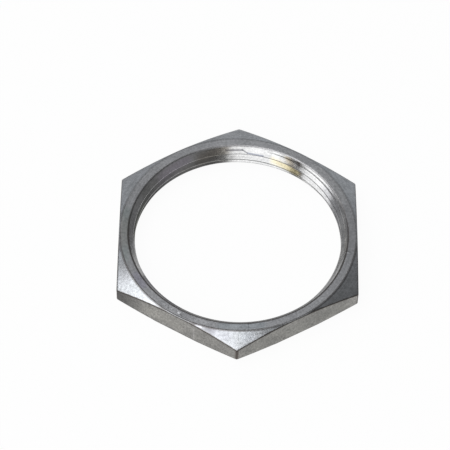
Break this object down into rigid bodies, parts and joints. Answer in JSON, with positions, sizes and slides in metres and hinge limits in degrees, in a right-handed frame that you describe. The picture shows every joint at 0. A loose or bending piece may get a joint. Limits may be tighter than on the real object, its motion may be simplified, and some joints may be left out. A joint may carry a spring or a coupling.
{
  "type": "hex lock nut",
  "caption": "Thin hexagonal lock nut with a large fine-threaded hole, which holds a threaded cable connector in a panel.",
  "frame": {"origin": "on the thread axis, at the bottom face, which lies on the surface that the nut rests on", "axes": "+Z along the thread axis, out of the top face with the deep chamfer; two of the six flats face +X and -X, and two corners point to +Y and -Y"},
  "size_m": [0.041, 0.0472, 0.0046],
  "materials": {
    "nickel_plate": "nickel-plated brass, turned and drawn, satin"
  },
  "bodies": {
    "root": {"connector_nut": "nickel_plate"}
  },
  "joints": []
}
